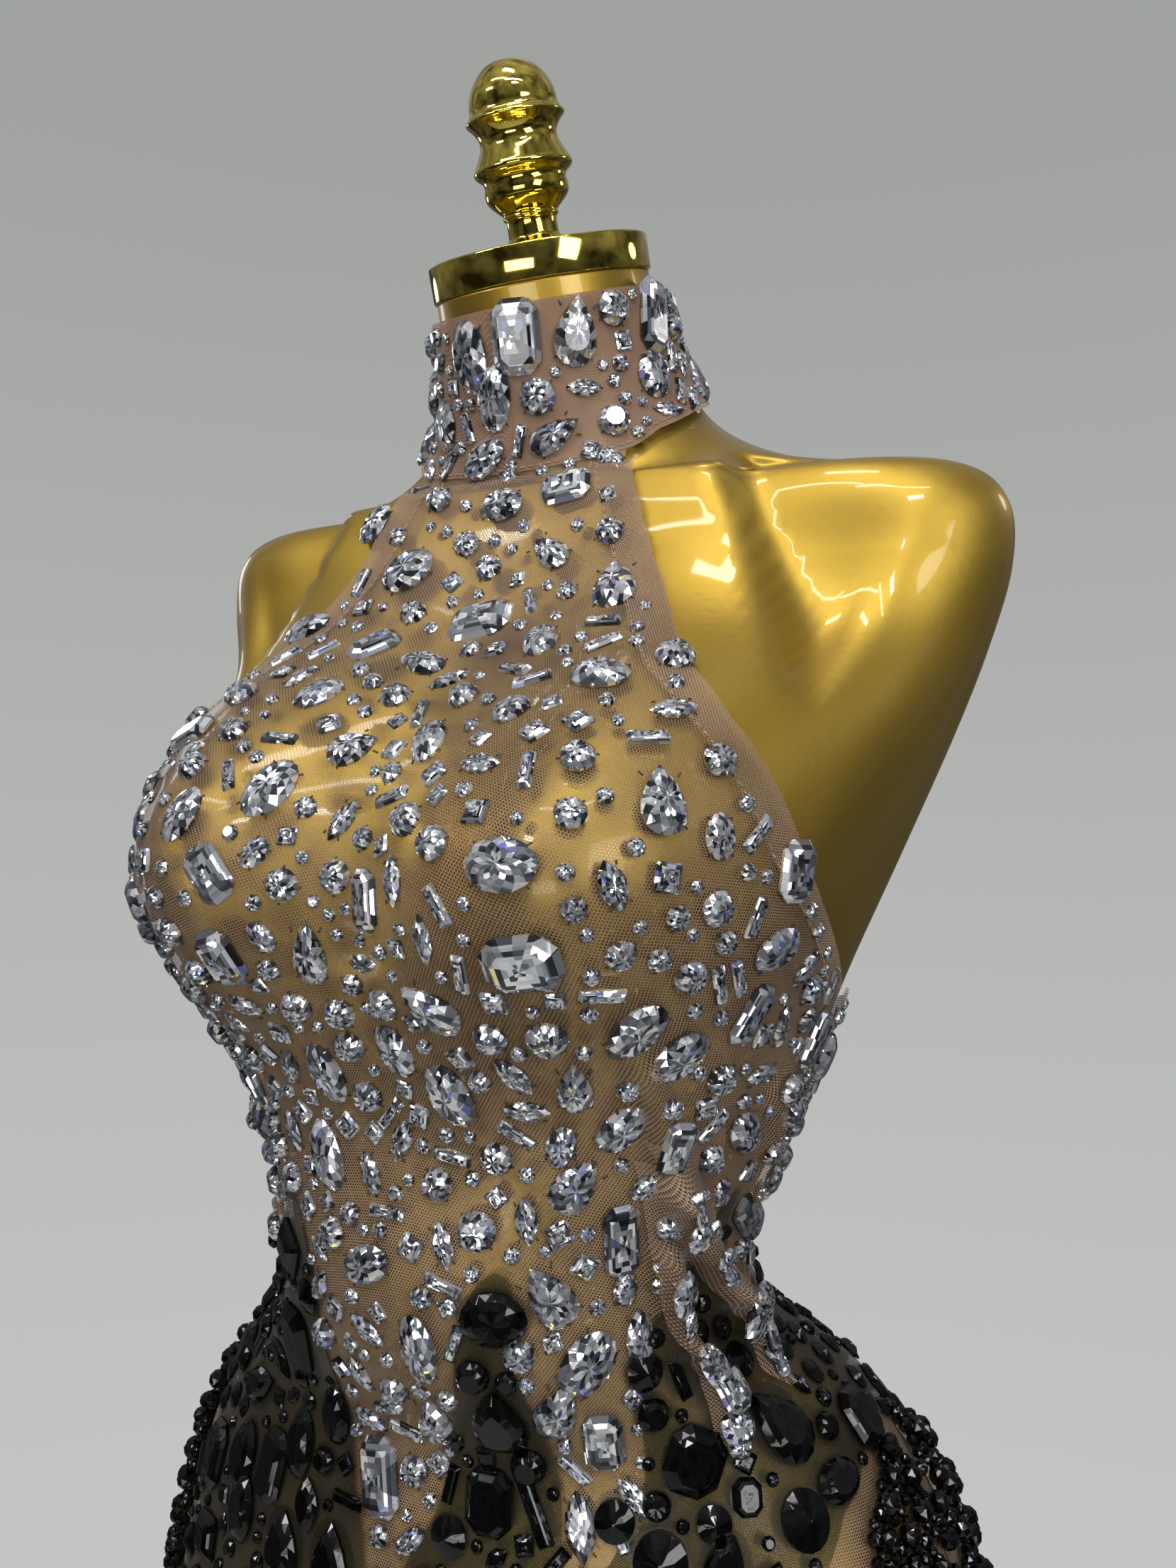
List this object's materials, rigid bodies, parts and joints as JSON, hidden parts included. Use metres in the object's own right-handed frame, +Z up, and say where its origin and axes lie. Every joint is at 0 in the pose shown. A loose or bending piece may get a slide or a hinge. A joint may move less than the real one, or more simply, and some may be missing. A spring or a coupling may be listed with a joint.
{
  "type": "beaded mini dress on a limbless dress form",
  "caption": "Fitted halter mini dress of sheer stretch mesh set with faceted stones, with a lobed black overlay and bead strings at the hips, worn on a gold limbless dress form on a stand.",
  "frame": {"origin": "centre of the round base's underside, on the floor", "axes": "+Z up, the dress faces -Y, and the wearer's left is +X"},
  "size_m": [0.4126, 0.3347, 1.5832],
  "materials": {
    "nude_mesh": "sheer nude stretch power mesh",
    "black_mesh": "sheer black stretch mesh laid over the nude one",
    "jet_beads": "round faceted jet beads on thread",
    "clear_stones": "clear foil-backed faceted stones in thread prongs",
    "jet_stones": "jet faceted flat-backed stones",
    "clear_glue": "dried glue round the jet stones",
    "gold_lacquer": "satin gold lacquer on a moulded shell",
    "gold_plate": "polished gold plate"
  },
  "bodies": {
    "root": {"dress_form": "gold_lacquer", "dress_front": "nude_mesh", "dress_back": "nude_mesh", "collar": "nude_mesh", "overlay_front": "black_mesh", "overlay_back": "black_mesh", "swags_left": "jet_beads", "swags_right": "jet_beads", "neck_cap": "gold_plate", "finial": "gold_plate", "stand_base": "gold_plate", "stand_pole": "gold_plate"}
  },
  "joints": []
}
